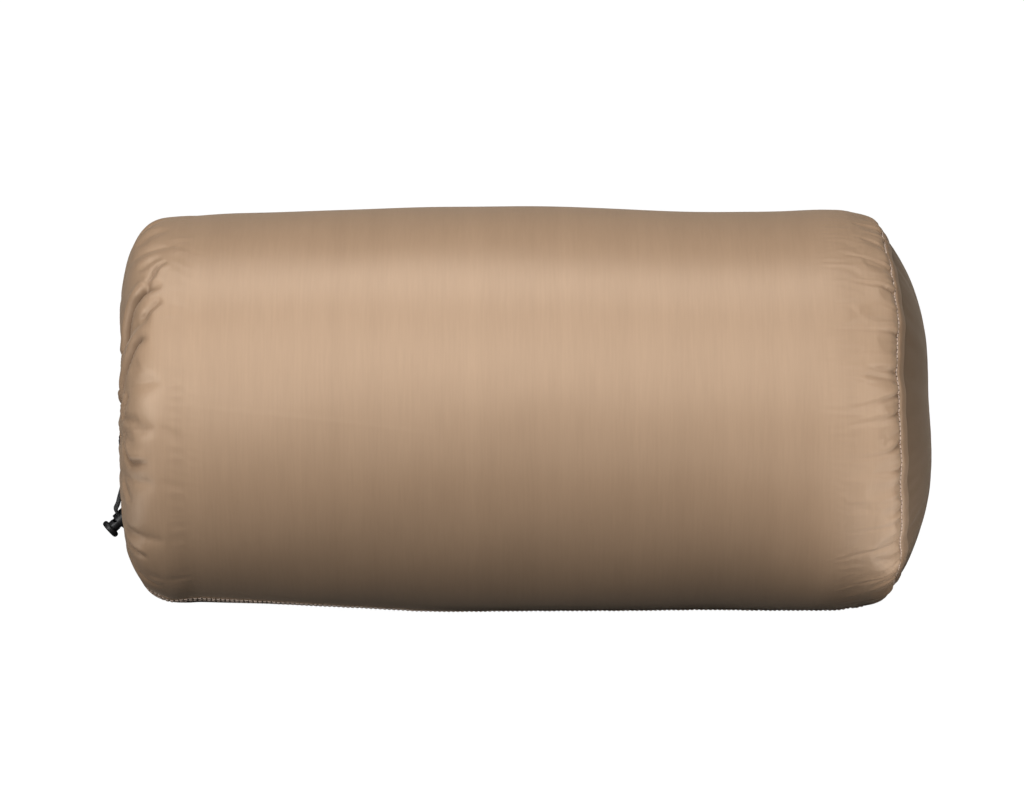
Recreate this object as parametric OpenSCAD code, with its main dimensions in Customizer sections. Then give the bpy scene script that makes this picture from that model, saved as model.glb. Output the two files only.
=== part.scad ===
// Camp pillow packed in its round drawstring sack, lying on its side.
// Frame: X runs along the sack, from the drawn-up mouth at -X to the closed base at +X.
// Z is up. The origin is the centre of the flat patch that the sack rests on.
// All sizes are in millimetres.

/* [Sack] */
// Length between the mouth face and the crown of the base
sack_length = 487; // [420:10:600]
// Radius of the filled tube at its fattest section
tube_radius = 123.5; // [110:0.5:140]
// Radius where the tube meets the mouth end
mouth_end_radius = 116.5; // [105:0.5:123.5]
// Radius where the tube meets the base end
base_end_radius = 120; // [105:0.5:123.5]
// Amount by which the sack's own weight flattens it underneath
ground_sag = 4; // [2:0.5:8]
// Thickness of the fabric
fabric_thickness = 0.5; // [0.3:0.1:1]

/* [Ends] */
// Length over which the tube turns in to the mouth face
mouth_turn = 45; // [35:1:60]
// Squareness of the mouth end, where 2 is an ellipse
mouth_squareness = 3.8; // [2.4:0.1:4.4]
// Length over which the tube turns in to the base crown
base_turn = 60; // [45:1:75]
// Squareness of the base end
base_squareness = 2.8; // [2:0.1:3.5]
// Distance from the base crown back to the joint between tube and base panel
base_joint_depth = 24; // [10:0.5:30]
// Distance from the base crown back to the row of topstitching
topstitch_depth = 27; // [18:0.5:40]

/* [Mouth] */
// Outer radius of the drawn-up casing
casing_radius = 23; // [20:1:30]
// Radius of the hole left in the middle of the drawn-up casing
mouth_hole_radius = 9; // [5:1:12]
// Length of the casing along the sack
casing_length = 13; // [10:1:18]
// Radius at which the mouth face starts to dip towards the casing
dish_radius = 48; // [40:1:60]

/* [Drawcord] */
// Diameter of the cord
cord_d = 2.4; // [1.8:0.1:2.6]
// Direction in which the tails leave the mouth, from horizontal at the back, downwards
tail_angle = 38.6; // [25:0.1:60]
// Straight length of the free tails beyond the cord lock
free_tail = 34; // [30:1:50]
// Diameter of the knot that ties the two tails
knot_d = 8; // [6:0.5:10]

/* [Cord lock] */
// Diameter of the barrel
barrel_d = 10.4; // [10:0.2:14]
// Length of the barrel
barrel_length = 13.1; // [13:0.1:16]
// Diameter of the plunger's cap
cap_d = 11.8; // [10:0.2:14]
// Thickness of the plunger's cap
cap_thickness = 3.4; // [2.5:0.1:4]
// Diameter of the plunger's stem
stem_d = 7.4; // [7:0.1:8]
// Travel of the plunger
plunger_travel = 4; // [3:0.5:4]

/* [Stitching] */
// Width and height of a sewn row of thread
thread_size = 0.5; // [0.3:0.1:0.8]
// Distance between the two rows of the side seam
side_seam_gap = 6; // [4:1:9]
// Angle of the side seam, forwards from straight down
side_seam_angle = 18; // [17:1:40]

/* [Pillow] */
// Thickness of the pillow's own cover
cover_thickness = 0.6; // [0.4:0.1:1]
// Half of the rolled pillow's thickness
roll_step = 24; // [20:1:30]

/* [Hidden] */
$fn = 96;

tan_fabric = [0.73, 0.60, 0.49];
pale_thread = [0.80, 0.70, 0.62];
black_plastic = [0.05, 0.05, 0.05];
cord_black = [0.04, 0.04, 0.04];

axis_height = tube_radius - ground_sag;
half_length = sack_length / 2;
mouth_tube_x = -half_length + mouth_turn;
base_tube_x = half_length - base_turn;
base_joint_x = half_length - base_joint_depth;
topstitch_x = half_length - topstitch_depth;
END_STEPS = 12;
CROWN_STEPS = 10;
GAP = 0.2;          // air between neighbouring soft pieces
FAR = 2 * sack_length;

// Radius of a rounded end at a share t of its length, from 0 at the tube to 1 at the crown
function end_share(t, squareness) = pow(1 - pow(t, squareness), 1 / squareness);

// Radius of the tube between its ends: a parabola from end to end through the fattest section
function tube_r(u) =
    u < 0.5
        ? tube_radius - (tube_radius - mouth_end_radius) * pow(1 - 2 * u, 2)
        : tube_radius - (tube_radius - base_end_radius) * pow(2 * u - 1, 2);

// Outline of the filled sack as [radius, x], moved inwards by inset
function sack_outline(inset) =
    let (
        dish_floor = -half_length + casing_length - 1 + inset,
        face = dish_radius + inset,
        mouth_a = mouth_turn - inset,
        mouth_r = mouth_end_radius - inset,
        face_t = pow(1 - pow(face / mouth_r, mouth_squareness), 1 / mouth_squareness)
    )
    concat(
        [[0, dish_floor], [casing_radius + 1 + inset, dish_floor]],
        [for (i = [0 : END_STEPS])
            let (t = face_t * sin(90 * (1 - i / END_STEPS)))
            [mouth_r * end_share(t, mouth_squareness), mouth_tube_x - mouth_a * t]],
        [for (i = [1 : CROWN_STEPS - 1])
            let (u = i / CROWN_STEPS)
            [tube_r(u) - inset, mouth_tube_x + (base_tube_x - mouth_tube_x) * u]],
        [for (i = [0 : END_STEPS])
            let (t = sin(90 * i / END_STEPS))
            [(base_end_radius - inset) * end_share(t, base_squareness), base_tube_x + (base_turn - inset) * t]]
    );

// Everything above the ground, moved up by inset
module above_ground(inset) {
    translate([-FAR / 2, -FAR / 2, inset]) cube(FAR);
}

// Turns an outline about the sack's own axis, which lies along X
module about_sack_axis() {
    translate([0, 0, axis_height]) rotate([0, 90, 0]) rotate_extrude() children();
}

// The whole filled sack, moved inwards by inset
module sack_solid(inset) {
    intersection() {
        about_sack_axis() polygon(sack_outline(inset));
        above_ground(inset);
    }
}

// A skin between two depths below the sack's surface; negative depths lie outside it
module sack_skin(outer, inner) {
    difference() {
        sack_solid(outer);
        sack_solid(inner);
    }
}

// A slab across the sack between two places along X
module slab(x0, x1) {
    translate([x0, -FAR / 2, -FAR / 2]) cube([x1 - x0, FAR, FAR]);
}

// A cylinder on the sack's axis between two places along X
module core(x0, x1, radius) {
    translate([x0, 0, axis_height]) rotate([0, 90, 0]) cylinder(r = radius, h = x1 - x0);
}

module side_panel() {
    color(tan_fabric) difference() {
        sack_skin(0, fabric_thickness);
        slab(base_joint_x, half_length + 1);
        core(-half_length - 1, 0, casing_radius + GAP);
    }
}

module end_panel() {
    color(tan_fabric) intersection() {
        sack_skin(0, fabric_thickness);
        slab(base_joint_x + GAP, half_length + 1);
    }
}

// ---- Mouth: the drawn-up casing and the cord inside it ----

casing_x = -half_length + casing_length / 2;
channel_radius = (casing_radius + mouth_hole_radius) / 2;
channel_d = cord_d + 1;
strand_offset = cord_d / 2 + 0.2;
slit_width = 2 * (strand_offset + cord_d);
hinge_radius = casing_radius + 3;
hinge_x = -half_length - cord_d / 2 - 0.4;

// Places children in the plane of the mouth, with +X pointing the way that the tails leave
// and +Z pointing out of the mouth
module at_mouth() {
    multmatrix([
        [0, 0, -1, 0],
        [cos(tail_angle), -sin(tail_angle), 0, 0],
        [-sin(tail_angle), -cos(tail_angle), 0, axis_height],
        [0, 0, 0, 1]
    ]) children();
}

module cord_casing() {
    corner = 3;
    low = -casing_x - casing_length / 2;
    high = -casing_x + casing_length / 2;
    color(tan_fabric) at_mouth() difference() {
        rotate_extrude() difference() {
            polygon([
                [mouth_hole_radius, low],
                [casing_radius, low],
                [casing_radius, high - corner],
                [casing_radius - corner, high],
                [mouth_hole_radius + corner, high],
                [mouth_hole_radius, high - corner]
            ]);
            translate([channel_radius, -casing_x]) circle(d = channel_d);
        }
        translate([channel_radius - channel_d / 2, -slit_width / 2, -casing_x - channel_d / 2])
            cube([casing_radius, slit_width, casing_length]);
    }
}

// A round bar between two points, with balls at its ends a little fatter than the bar
module rod(a, b, d) {
    v = b - a;
    length = norm(v);
    translate(a) rotate([0, acos(v[2] / length), atan2(v[1], v[0])]) cylinder(d = d, h = length);
    translate(a) sphere(d = 1.04 * d);
    translate(b) sphere(d = 1.04 * d);
}

module drawcord_loop() {
    half_gap = asin(strand_offset / channel_radius);
    start = channel_radius * cos(half_gap);
    exit = [hinge_radius, -hinge_x];
    lead = exit - [start, -casing_x];
    stop = exit - lead / norm(lead) * (cord_d + GAP);
    color(cord_black) at_mouth() {
        translate([0, 0, -casing_x])
            rotate([0, 0, half_gap])
                rotate_extrude(angle = 360 - 2 * half_gap)
                    translate([channel_radius, 0]) circle(d = cord_d);
        for (side = [-1, 1])
            rod([start, side * strand_offset, -casing_x], [stop[0], side * strand_offset, stop[1]], cord_d);
    }
}

// ---- Cord tails and cord lock ----
// The lock's own frame: origin on the cord hole's axis, +X along the cord towards its free
// end, and +Z along the plunger towards its cap.

lock_centre = [-half_length - 3.9, 80, axis_height - 65.8];
plunger_tilt = 42.3;   // how far the cap points below horizontal
cord_yaw = 30;         // how far the free tails swing towards the back
plunger_dir = [-cos(plunger_tilt), 0, -sin(plunger_tilt)];
cord_dir = [sin(plunger_tilt) * cos(cord_yaw), sin(cord_yaw), -cos(plunger_tilt) * cos(cord_yaw)];
lock_side = cross(plunger_dir, cord_dir);
barrel_top = 3.6;
barrel_bottom = barrel_top - barrel_length;
cap_base = barrel_top + plunger_travel + 0.6;
hinge_point = [hinge_x, hinge_radius * cos(tail_angle), axis_height - hinge_radius * sin(tail_angle)];
hinge_axis = [0, sin(tail_angle), cos(tail_angle)];
bore_clearance = 0.2;

module in_lock_frame() {
    multmatrix([
        [cord_dir[0], lock_side[0], plunger_dir[0], lock_centre[0]],
        [cord_dir[1], lock_side[1], plunger_dir[1], lock_centre[1]],
        [cord_dir[2], lock_side[2], plunger_dir[2], lock_centre[2]],
        [0, 0, 0, 1]
    ]) children();
}

module cord_tails() {
    bend = lock_centre - cord_dir * (barrel_d / 2 + cord_d);
    tip = lock_centre + cord_dir * free_tail;
    color(cord_black) {
        for (side = [-1, 1]) {
            at_hinge = hinge_point - side * strand_offset * hinge_axis;
            at_bend = bend + side * strand_offset * lock_side;
            rod(at_hinge, at_bend, cord_d);
            rod(at_bend, tip + side * strand_offset * lock_side, cord_d);
        }
        translate(tip) sphere(d = knot_d);
    }
}

// The opening for the two strands, crosswise through the lock, between two heights
module cord_slot(z0, z1, length) {
    width = 2 * strand_offset + cord_d + 0.3;
    translate([-length / 2, -width / 2, z0]) cube([length, width, z1 - z0]);
}

// Corner of an outline rounded off from one angle to another
function round_corner(centre, radius, from, to) =
    [for (i = [0 : 4]) let (a = from + (to - from) * i / 4) centre + radius * [cos(a), sin(a)]];

module lock_barrel() {
    wall_bottom = 1;
    foot_round = 1.6;
    rim_round = 0.4;
    color(black_plastic) in_lock_frame() difference() {
        rotate_extrude() polygon(concat(
            [[0, barrel_bottom]],
            round_corner([barrel_d / 2 - foot_round, barrel_bottom + foot_round], foot_round, -90, 0),
            round_corner([barrel_d / 2 - rim_round, barrel_top - rim_round], rim_round, 0, 90),
            [
                [stem_d / 2 + bore_clearance, barrel_top],
                [stem_d / 2 + bore_clearance, barrel_bottom + wall_bottom],
                [0, barrel_bottom + wall_bottom]
            ]
        ));
        cord_slot(-cord_d / 2 - 0.1, cord_d / 2 + 0.1, barrel_d + 2);
    }
}

stem_foot = -cord_d / 2 - 1.2;

module lock_plunger() {
    rim = 1.4;
    rim_centre = cap_d / 2 - rim;
    color(black_plastic) in_lock_frame() difference() {
        rotate_extrude() polygon(concat(
            [[0, stem_foot], [stem_d / 2, stem_foot], [stem_d / 2, cap_base]],
            round_corner([rim_centre, cap_base + rim], rim, -90, 0),
            round_corner([rim_centre, cap_base + cap_thickness - rim], rim, 0, 90),
            [[0, cap_base + cap_thickness + 0.3]]
        ));
        cord_slot(-cord_d / 2 - 0.1, cord_d / 2 + plunger_travel + 0.1, stem_d + 2);
    }
}

// A coil made of half rings, each tilted the opposite way to the one below it
module lock_spring() {
    wire = 0.4;
    coil_radius = 2.4;
    halves = 8;
    foot = barrel_bottom + 1 + wire / 2 + 0.15;
    rise = (stem_foot - wire / 2 - 0.15 - foot) / halves;
    tilt = asin(rise / (2 * coil_radius));
    color("silver") in_lock_frame()
        for (i = [0 : halves - 1])
            translate([0, 0, foot + (i + 0.5) * rise])
                rotate([0, 0, 180 * i]) rotate([0, tilt, 0]) rotate([0, 0, -0.5])
                    rotate_extrude(angle = 181, $fn = 32) translate([coil_radius, 0]) circle(d = wire, $fn = 10);
}

// ---- Stitching: rows of thread that lie on the fabric ----

thread_lift = 0.05;

module on_surface() {
    intersection() {
        sack_skin(-thread_lift - thread_size, -thread_lift);
        children();
    }
}

module end_seam_thread() {
    color(pale_thread) on_surface() slab(topstitch_x - thread_size / 2, topstitch_x + thread_size / 2);
}

module side_seam_thread() {
    from_x = mouth_tube_x - mouth_turn / 2;
    to_x = topstitch_x - 3;
    color(pale_thread) on_surface()
        translate([0, 0, axis_height]) rotate([-side_seam_angle, 0, 0])
            for (row = [0, 1])
                translate([from_x, -thread_size / 2 - row * side_seam_gap, -FAR])
                    cube([to_x - from_x, thread_size, FAR]);
}

module casing_thread() {
    row_radius = casing_radius + 8;
    color(pale_thread) on_surface() difference() {
        core(-half_length - 5, mouth_tube_x, row_radius + thread_size);
        core(-half_length - 6, mouth_tube_x + 1, row_radius);
    }
}

// ---- The pillow, rolled up inside the sack ----

// The gap between the turns of the roll, as half rings that grow by one step each
module roll_gap(width) {
    first = 22;
    count = 5;
    for (i = [0 : count - 1]) {
        radius = first + i * roll_step;
        translate([-FAR / 2, (i % 2 == 0) ? 0 : roll_step, axis_height])
            rotate([0, 90, 0]) rotate([0, 0, (i % 2 == 0) ? 0 : 180])
                rotate_extrude(angle = 180)
                    translate([radius - width / 2, 0]) square([width, FAR]);
    }
}

// The rolled pillow, moved inwards by inset, with gaps of the given width between its turns
module rolled_pillow(inset, gap_width) {
    ease = 25;
    left = -half_length + casing_length + 2 + inset;
    right = half_length - 8 - inset;
    radius = mouth_end_radius - 5 - inset;
    difference() {
        about_sack_axis() polygon([
            [0, left],
            [radius - ease, left],
            [radius, left + ease],
            [radius, right - 2 * ease],
            [radius - ease, right - ease / 2],
            [0, right]
        ]);
        roll_gap(gap_width);
    }
}

module pillow_cover() {
    color("whitesmoke") difference() {
        rolled_pillow(0, 1);
        rolled_pillow(cover_thickness, 1 + 2 * cover_thickness);
    }
}

module pillow_fill() {
    inset = cover_thickness + GAP;
    color("white") rolled_pillow(inset, 1 + 2 * inset);
}

side_panel();
end_panel();
cord_casing();
end_seam_thread();
side_seam_thread();
casing_thread();
drawcord_loop();
cord_tails();
lock_barrel();
lock_plunger();
lock_spring();
pillow_cover();
pillow_fill();
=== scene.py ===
"""Looks for a camp pillow packed in its drawstring sack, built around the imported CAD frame."""

import math
import random

import bpy
import numpy as np
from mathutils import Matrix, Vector


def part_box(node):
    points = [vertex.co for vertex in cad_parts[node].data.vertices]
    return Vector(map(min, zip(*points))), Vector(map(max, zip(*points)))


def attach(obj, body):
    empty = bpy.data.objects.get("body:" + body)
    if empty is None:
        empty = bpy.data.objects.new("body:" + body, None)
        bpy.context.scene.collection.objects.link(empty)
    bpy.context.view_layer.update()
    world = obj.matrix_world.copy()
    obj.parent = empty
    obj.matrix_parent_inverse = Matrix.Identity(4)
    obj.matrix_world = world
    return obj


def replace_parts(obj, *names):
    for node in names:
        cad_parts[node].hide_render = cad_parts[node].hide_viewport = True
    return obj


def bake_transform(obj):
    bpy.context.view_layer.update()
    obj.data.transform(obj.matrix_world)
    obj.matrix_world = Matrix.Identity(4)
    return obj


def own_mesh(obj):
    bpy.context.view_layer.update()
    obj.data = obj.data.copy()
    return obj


MM = 0.001
TAU = 2 * math.pi

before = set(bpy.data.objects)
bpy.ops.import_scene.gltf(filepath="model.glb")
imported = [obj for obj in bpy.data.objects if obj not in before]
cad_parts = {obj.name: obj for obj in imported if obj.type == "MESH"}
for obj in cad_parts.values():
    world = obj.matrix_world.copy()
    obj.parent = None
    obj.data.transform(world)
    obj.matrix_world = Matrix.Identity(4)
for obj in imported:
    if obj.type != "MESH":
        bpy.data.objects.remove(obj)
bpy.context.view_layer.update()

# ---------------------------------------------------------------- measurements from the frame, in mm

MOUTH_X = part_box("side_panel")[0].x / MM
CROWN_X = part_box("end_panel")[1].x / MM
casing_low, casing_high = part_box("cord_casing")
AXIS_Z = (casing_low.z + casing_high.z) / 2 / MM
seam_low, seam_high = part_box("end_seam_thread")
STITCH_X = (seam_low.x + seam_high.x) / 2 / MM

# ---------------------------------------------------------------- sizes in mm

# the flat mouth face, the length and power of the curve that rounds its corner, and the face's radius
FACE_X = MOUTH_X + 3.6
MOUTH_TURN = 42.0
CORNER_POWER = 3.8
MOUTH_R = 116.0
# radius in the middle of the tube, and how much wider than high the filled sack is
MIDDLE_R = 121.5
WIDER = 1.016
# rows of points in the band over the base's seam allowance
LIP_ROWS = 9
THREAD_PITCH = 2.76
THREAD_D = 0.68
HOLE_R = 0.42
# from the middle of the felled side seam to each of its two rows of stitches
SEAM_ROW = 2.6

# the tails leave the casing at this angle below horizontal, at this radius and distance from the axis
TAIL_ANGLE = math.radians(38.6)
HINGE_R = 26.0
CORD_D = 2.4
CORD_HEIGHT = 1.8 - MOUTH_X - CORD_D / 2
# half the distance between the two strands, and the radius of the cord's ring in the casing
STRAND = 1.4
CHANNEL_R = 16.0
# the cord lock: how far its cap points down, how far the tails turn back, sizes and travel
PLUNGER_TILT = math.radians(42.3)
CORD_YAW = math.radians(30.0)
BARREL_D = 10.4
FREE_TAIL = 34.0
# its place: out from the mouth, towards the back, and below the axis
LOCK_OUT = 3.9
LOCK_BACK = 80.0
LOCK_DOWN = 65.8

# frames of cloth simulation, and points along each crease and each tail
SIM_FRAMES = 18
CREASE_STEPS = 110
TAIL_STEPS = 120

# the camera: how far off it stands and how much it sees at the sack's axis, in metres
CAMERA_AWAY = 2.9
SEEN_WIDTH = 1024 * 0.0006
SENSOR_MM = 36


def smooth(t):
    """0 below 0, 1 above 1, and a smooth step between."""
    t = np.clip(t, 0.0, 1.0)
    return t * t * (3 - 2 * t)


def bell(t):
    """1 at 0, fading to nothing on both sides."""
    return np.exp(-t * t)


def wrapped(angle):
    """An angle brought into -pi to pi."""
    return (angle + math.pi) % TAU - math.pi


# ---------------------------------------------------------------- outline of the filled sack
# theta is the angle round the sack: 0 at the top, 90 degrees at the front (-Y), 180 underneath.

def stitch_ring(theta):
    """x and radius of the topstitched ring round the base, which leans back at the top and wanders."""
    around = np.abs(wrapped(theta))
    up = np.cos(theta)
    lean = 5.2 * up * np.sqrt(np.abs(up)) * (1 - 0.6 * smooth((-up - 0.8) / 0.2))
    drift = 1.6 * bell((around - 0.94) / 0.26) - 1.5 * bell((around - 1.38) / 0.15)
    wander = 0.35 * np.sin(17 * theta + 2.2) + 0.25 * np.sin(31 * theta + 0.4)
    return STITCH_X + 1.5 - lean + drift + wander, 108.5 + 2.5 * up


def fold_ring(theta):
    """x and radius of the joint between side panel and end panel."""
    x, r = stitch_ring(theta)
    return x + 3.4, r - 5.6


def tube_radius(x):
    """Vertical radius of the tube."""
    left = 6.0 * (np.clip(-x, 0, None) / 208.0) ** 1.5
    right = 2.3 * smooth(x / 125.0)
    return MIDDLE_R - left - right


def tube_centre(x):
    """Height of the middle of the tube."""
    return AXIS_Z + 2.1 - 1.5 * smooth((x + 20.0) / 120.0)


def mouth_face_x(r):
    """x of the mouth face at a radius, before pleating."""
    share = np.clip(r / MOUTH_R, 0, 1)
    bulge = (1 - share ** CORNER_POWER) ** (1 / CORNER_POWER)
    crater = 6.5 * smooth((66.0 - r) / 50.0)
    return FACE_X + MOUTH_TURN * (1 - bulge) + crater


# ---------------------------------------------------------------- mesh helpers

def make_mesh(name, points, faces, uv=None):
    """A smooth-shaded mesh object from points in mm."""
    mesh = bpy.data.meshes.new(name)
    mesh.from_pydata((np.asarray(points, float) * MM).tolist(), [], [list(map(int, f)) for f in faces])
    mesh.polygons.foreach_set("use_smooth", [True] * len(mesh.polygons))
    if uv is not None:
        layer = mesh.uv_layers.new(name="cloth")
        loop_vertex = np.zeros(len(mesh.loops), int)
        mesh.loops.foreach_get("vertex_index", loop_vertex)
        layer.data.foreach_set("uv", np.asarray(uv, float)[loop_vertex].ravel())
    mesh.update()
    obj = bpy.data.objects.new(name, mesh)
    bpy.context.scene.collection.objects.link(obj)
    return obj


def store_painted_shade(obj, values):
    """Keeps a painted shade for each point, stronger the deeper it lies in a fold, which darkens the fabric's
    colour.
    """
    layer = obj.data.attributes.new("fold", "FLOAT", "POINT")
    layer.data.foreach_set("value", np.asarray(values, float))


def ring_faces(rows, columns):
    """Quads of a tube of rows x columns points that closes round its columns."""
    faces = []
    for i in range(0, (rows - 1) * columns, columns):
        for j in range(columns):
            k = (j + 1) % columns
            faces.append((i + j, i + k, i + columns + k, i + columns + j))
    return faces


def flat_uv(first, second):
    """UVs for a grid of points, from two arrays that broadcast to the grid."""
    return np.stack(np.broadcast_arrays(first, second), axis=-1).reshape(-1, 2)


def unit(vectors):
    """The vectors along the last axis, each of length 1."""
    return vectors / (np.linalg.norm(vectors, axis=-1, keepdims=True) + 1e-9)


def around_grid(points):
    """The way to the next column at each point of a grid that closes round its columns."""
    return np.roll(points, -1, axis=1) - np.roll(points, 1, axis=1)


def grid_normals(points):
    """Outward normals of a grid that closes round its columns."""
    normal = unit(np.cross(around_grid(points), np.gradient(points, axis=0)))
    if np.sum(normal * (points - np.array([0, 0, AXIS_Z]))) < 0:
        normal = -normal
    return normal


# ---------------------------------------------------------------- folds

def mouth_folds():
    """Broad folds round the mouth end: angle in degrees, depth, reach along the tube, width, lean."""
    folds = [
        (12, 0.8, 16, 9, 0.2), (34, 1.0, 22, 9, 0.4), (62, 1.2, 14, 9, 0.6), (82, 1.3, 12, 8, 0.3),
        (96, 1.2, 12, 8, 0.2), (112, 1.0, 14, 9, 0.3), (131, 1.1, 18, 9, -0.5), (148, 1.2, 22, 9, -0.5),
        (164, 0.9, 14, 8, 0.3), (177, 1.2, 18, 8, -0.3),
    ]
    dice = random.Random(11)
    angle = 188.0
    while angle < 354.0:
        folds.append((angle, dice.uniform(0.8, 1.8), dice.uniform(10, 26), dice.uniform(7, 10),
                      dice.uniform(-1, 1)))
        angle += dice.uniform(10.0, 16.0)
    return folds


def mouth_creases():
    """Creases beside the mouth face: a path of (angle, distance), depth, width, lip, side and slide.

    The distance is from the face's edge, positive along the tube and negative on the face. The lip lies
    on the right of the path where side is 1, and leans over the crease by slide.
    """
    creases = [
        ([(22, 30), (25.5, 19.5), (29, 12)], 0.9, 4.5, 0.9, 1, 0.6),
        ([(38, 28), (41, 21), (43, 14)], 0.8, 3.2, 0.4, 1, 0.4),
        ([(41, 30), (44.5, 26), (48, 23), (51.5, 18.5)], 2.2, 1.7, 0.9, -1, 1.2),
        ([(51.5, 30), (51.5, 24), (52, 17.5), (53, 12), (54.5, 6.5), (57, 1), (59.5, -5), (62.5, -10),
          (66, -15), (71, -20), (76, -26)], 6.4, 2.7, 1.6, 1, 1.7),
        ([(56.5, 29), (58, 24.5), (60, 18.5), (61.5, 13)], 1.9, 2.4, 0.5, 1, 0.8),
        ([(69.5, 22), (68.5, 14.5), (69.5, 9), (71.5, 4.5), (74.5, -1), (77.5, -7), (81, -13), (86, -20)],
         6.0, 2.6, 1.4, 1, 1.6),
        ([(76, 16), (77.5, 8)], 0.7, 4.4, 0.0, 1, 0.0),
        ([(83, 3), (87, -3), (91, -10)], 2.6, 2.2, 0.9, 1, 1.2),
        ([(93, 15), (92.5, 5), (90.5, -6)], 1.2, 2.6, 0.5, -1, 0.5),
        ([(99.5, 12), (99, 2), (97, -8)], 0.7, 3.0, 0.3, 1, 0.3),
        ([(105.5, 23), (106, 12.5), (106, 5), (103.5, -1), (99, -9)], 2.4, 2.4, 0.8, 1, 0.9),
        ([(120.5, 6), (117.5, -1.5), (113.5, -11)], 1.5, 3.0, 0.4, -1, 0.3),
        ([(130.5, 15), (132.5, 2.5), (134.5, -10)], 1.0, 3.0, 0.5, 1, 0.5),
        ([(138.5, 19), (139, 7.5), (140, -4)], 1.6, 2.4, 0.8, 1, 0.8),
        ([(153, 27), (151, 17), (150.5, 11), (149, 3)], 1.1, 2.8, 0.6, 1, 0.4),
        ([(165, 24), (166, 12), (166, 0)], 0.8, 3.0, 0.5, 1, 0.5),
    ]
    # a faint fold line along the sack, on the camera side
    creases.append(([(87, 20), (90, 80), (93, 140), (97, 205)], 0.03, 1.4, 0.05, 1, 0.0))
    dice = random.Random(29)
    angle = 184.0
    while angle < 372.0:
        deep = dice.uniform(0.8, 2.8)
        bend = dice.uniform(-7, 7)
        begin = dice.uniform(12, 34)
        stop = dice.uniform(-48, -16)
        path = [(angle, begin), (angle + 0.3 * bend, begin * 0.6 + stop * 0.4), (angle + bend, stop)]
        creases.append((path, deep, dice.uniform(1.9, 3.4), 0.35 * deep, dice.choice([-1, 1]), 0.5 * deep))
        angle += dice.uniform(7.0, 14.0)
    return creases


def base_creases():
    """Puckers beside the base topstitching, in the same form, with distances back from the stitches."""
    creases = [
        ([(17.5, 3), (18.5, 20)], 0.9, 1.8, 0.5, 1, 0.3),
        ([(20, 2), (21, 14), (22.5, 36)], 1.2, 1.8, 0.8, 1, 0.4),
        ([(26.5, 2), (27, 15)], 0.8, 1.4, 0.4, 1, 0.2),
        ([(32, 2), (31, 14), (30.5, 34)], 1.4, 1.9, 0.9, 1, 0.5),
        ([(36.5, 1.5), (36, 11)], 0.8, 1.3, 0.4, 1, 0.2),
        ([(42, 2), (41, 15), (39.5, 36)], 1.4, 1.9, 0.9, 1, 0.5),
        ([(46.5, 1.5), (46, 14)], 0.9, 1.4, 0.5, 1, 0.3),
        ([(51.5, 2), (51, 13), (50.5, 33)], 1.9, 1.9, 1.0, 1, 0.7),
        ([(55, 1.5), (55, 9)], 0.8, 1.1, 0.4, 1, 0.2),
        ([(58, 1.5), (57, 14)], 1.0, 1.3, 0.5, 1, 0.3),
        ([(66, 2), (66, 14), (66.5, 50)], 1.7, 2.0, 0.7, 1, 0.6),
        ([(71.5, 1.5), (72, 10)], 0.9, 1.6, 0.4, 1, 0.2),
        ([(77.5, 2), (77, 24)], 1.5, 2.1, 0.7, 1, 0.5),
        ([(81, 2), (79.5, 24), (79, 46)], 0.9, 1.6, 0.9, -1, 0.4),
        ([(84.5, 2), (86.5, 14), (89, 34)], 1.9, 2.1, 0.9, 1, 0.8),
        ([(90, 2), (92, 15), (94, 36)], 1.7, 2.0, 0.9, 1, 0.6),
        ([(96, 1.5), (96.5, 11)], 0.8, 1.3, 0.4, 1, 0.2),
        ([(99.5, 2), (102, 14), (103.5, 34)], 1.9, 2.1, 0.9, 1, 0.7),
        ([(107.5, 2), (107.5, 30)], 0.9, 1.9, 0.4, 1, 0.2),
        ([(111.5, 1.5), (112, 10)], 0.7, 1.2, 0.4, 1, 0.2),
        ([(116, 2), (117, 18)], 1.1, 1.7, 0.5, 1, 0.4),
        ([(121, 1.5), (121.5, 12)], 0.7, 1.4, 0.4, 1, 0.2),
        ([(125, 2), (126.5, 42)], 0.9, 1.9, 0.5, 1, 0.3),
        ([(132.5, 2), (135, 46)], 1.0, 1.9, 0.5, 1, 0.4),
        ([(138.5, 1.5), (139.5, 12)], 0.8, 1.4, 0.4, 1, 0.2),
        ([(145, 2), (148, 16), (147.5, 40)], 1.9, 2.0, 0.8, 1, 0.8),
        ([(153, 2), (155, 20)], 1.0, 1.7, 0.5, 1, 0.3),
        ([(162, 2), (163, 26)], 1.1, 1.8, 0.5, 1, 0.3),
        ([(171, 2), (171, 22)], 0.9, 1.8, 0.5, 1, 0.3),
    ]
    creases = [(path, 0.9 * deep, 0.72 * width, 0.8 * lip, side, 0.7 * slide)
               for path, deep, width, lip, side, slide in creases]
    dice = random.Random(37)
    angle = 178.0
    while angle < 376.0:
        deep = dice.uniform(0.6, 1.6)
        path = [(angle, 2), (angle + dice.uniform(-2, 2), dice.uniform(9, 44))]
        creases.append((path, deep, dice.uniform(1.0, 1.5), 0.5 * deep, dice.choice([-1, 1]), 0.25 * deep))
        angle += dice.uniform(3.0, 7.0)
    for angle in range(8, 176, 5):
        deep = dice.uniform(0.25, 0.55)
        start = angle + dice.uniform(-1.5, 1.5)
        path = [(start, 2), (start + dice.uniform(-1.5, 1.5), dice.uniform(16, 40))]
        creases.append((path, deep, dice.uniform(0.9, 1.3), 0.6 * deep, dice.choice([-1, 1]), 0.0))
    angle = 0.0
    while angle < 360.0:
        deep = dice.uniform(0.25, 0.6)
        path = [(angle, 1.0), (angle + dice.uniform(-1, 1), dice.uniform(4, 9))]
        creases.append((path, deep, dice.uniform(0.8, 1.2), 0.4 * deep, 1, 0.0))
        angle += dice.uniform(1.6, 3.4)
    return creases


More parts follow.
